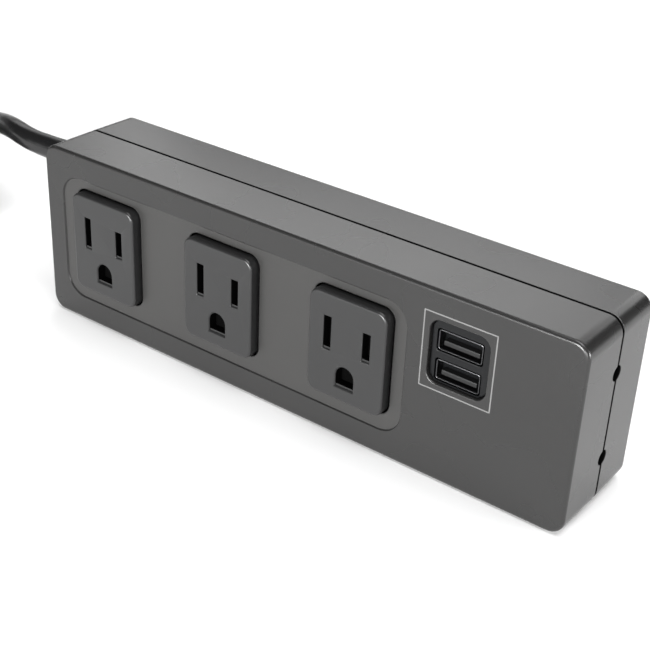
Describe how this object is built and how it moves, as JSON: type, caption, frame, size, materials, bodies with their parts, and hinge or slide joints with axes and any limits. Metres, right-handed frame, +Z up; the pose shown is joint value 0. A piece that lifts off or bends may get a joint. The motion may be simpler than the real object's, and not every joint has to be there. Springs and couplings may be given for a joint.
{
  "type": "power strip",
  "caption": "Slim black desk power strip on edge, with grounded outlets in a recessed panel, USB charging ports, and a tied-up mains cord with a grounded plug.",
  "frame": {"origin": "middle of the housing's footprint, on the surface it stands on", "axes": "+X along the strip towards the end with the USB ports, +Y towards the back, away from the outlets, +Z up"},
  "size_m": [0.5264, 0.0555, 0.0554],
  "materials": {
    "housing": "fine matt texture",
    "outlet_plastic": "fine matt texture",
    "well_plastic": "smooth",
    "port_steel": "plated, thin sheet",
    "tongue_plastic": "smooth",
    "contact_brass": "stamped strip",
    "screw_steel": "zinc plated",
    "cord_jacket": "smooth PVC",
    "insulator": "smooth",
    "board": "solder mask",
    "varistor_disc": "epoxy coated",
    "component_plastic": "smooth",
    "yellow_tape": "taped winding",
    "wire_black": "PVC sleeve",
    "wire_white": "PVC sleeve",
    "wire_green": "PVC sleeve"
  },
  "bodies": {
    "root": {"bus_cover": "insulator", "charger_board": "board", "charger_capacitor": "component_plastic", "charger_line_wire": "wire_black", "charger_neutral_wire": "wire_white", "charger_output_choke": "component_plastic", "charger_transformer": "yellow_tape", "clamp_screw_lower": "screw_steel", "clamp_screw_upper": "screw_steel", "cord_clamp": "insulator", "cord_hank": "cord_jacket", "cord_inner_end": "cord_jacket", "cord_lead": "cord_jacket", "cord_tail": "cord_jacket", "filter_capacitor": "yellow_tape", "front_shell": "housing", "ground_bus": "contact_brass", "ground_wire": "wire_green", "hank_tie": "cord_jacket", "line_bus": "contact_brass", "line_link_wire": "wire_black", "line_wire": "wire_black", "neutral_bus": "contact_brass", "neutral_wire": "wire_white", "outlet_insert_1": "outlet_plastic", "outlet_insert_2": "outlet_plastic", "outlet_insert_3": "outlet_plastic", "plug_blade_line": "contact_brass", "plug_blade_neutral": "contact_brass", "plug_body": "cord_jacket", "plug_ground_pin": "contact_brass", "rear_shell": "housing", "screw_bottom_left": "screw_steel", "screw_bottom_middle": "screw_steel", "screw_bottom_right": "screw_steel", "screw_top_left": "screw_steel", "screw_top_middle": "screw_steel", "screw_top_right": "screw_steel", "strain_relief": "cord_jacket", "surge_board": "board", "thermal_fuse": "component_plastic", "usb_bezel": "well_plastic", "usb_shell_lower": "port_steel", "usb_shell_upper": "port_steel", "usb_tongue_lower": "tongue_plastic", "usb_tongue_upper": "tongue_plastic", "varistor_1": "varistor_disc", "varistor_2": "varistor_disc", "varistor_3": "varistor_disc"}
  },
  "joints": []
}
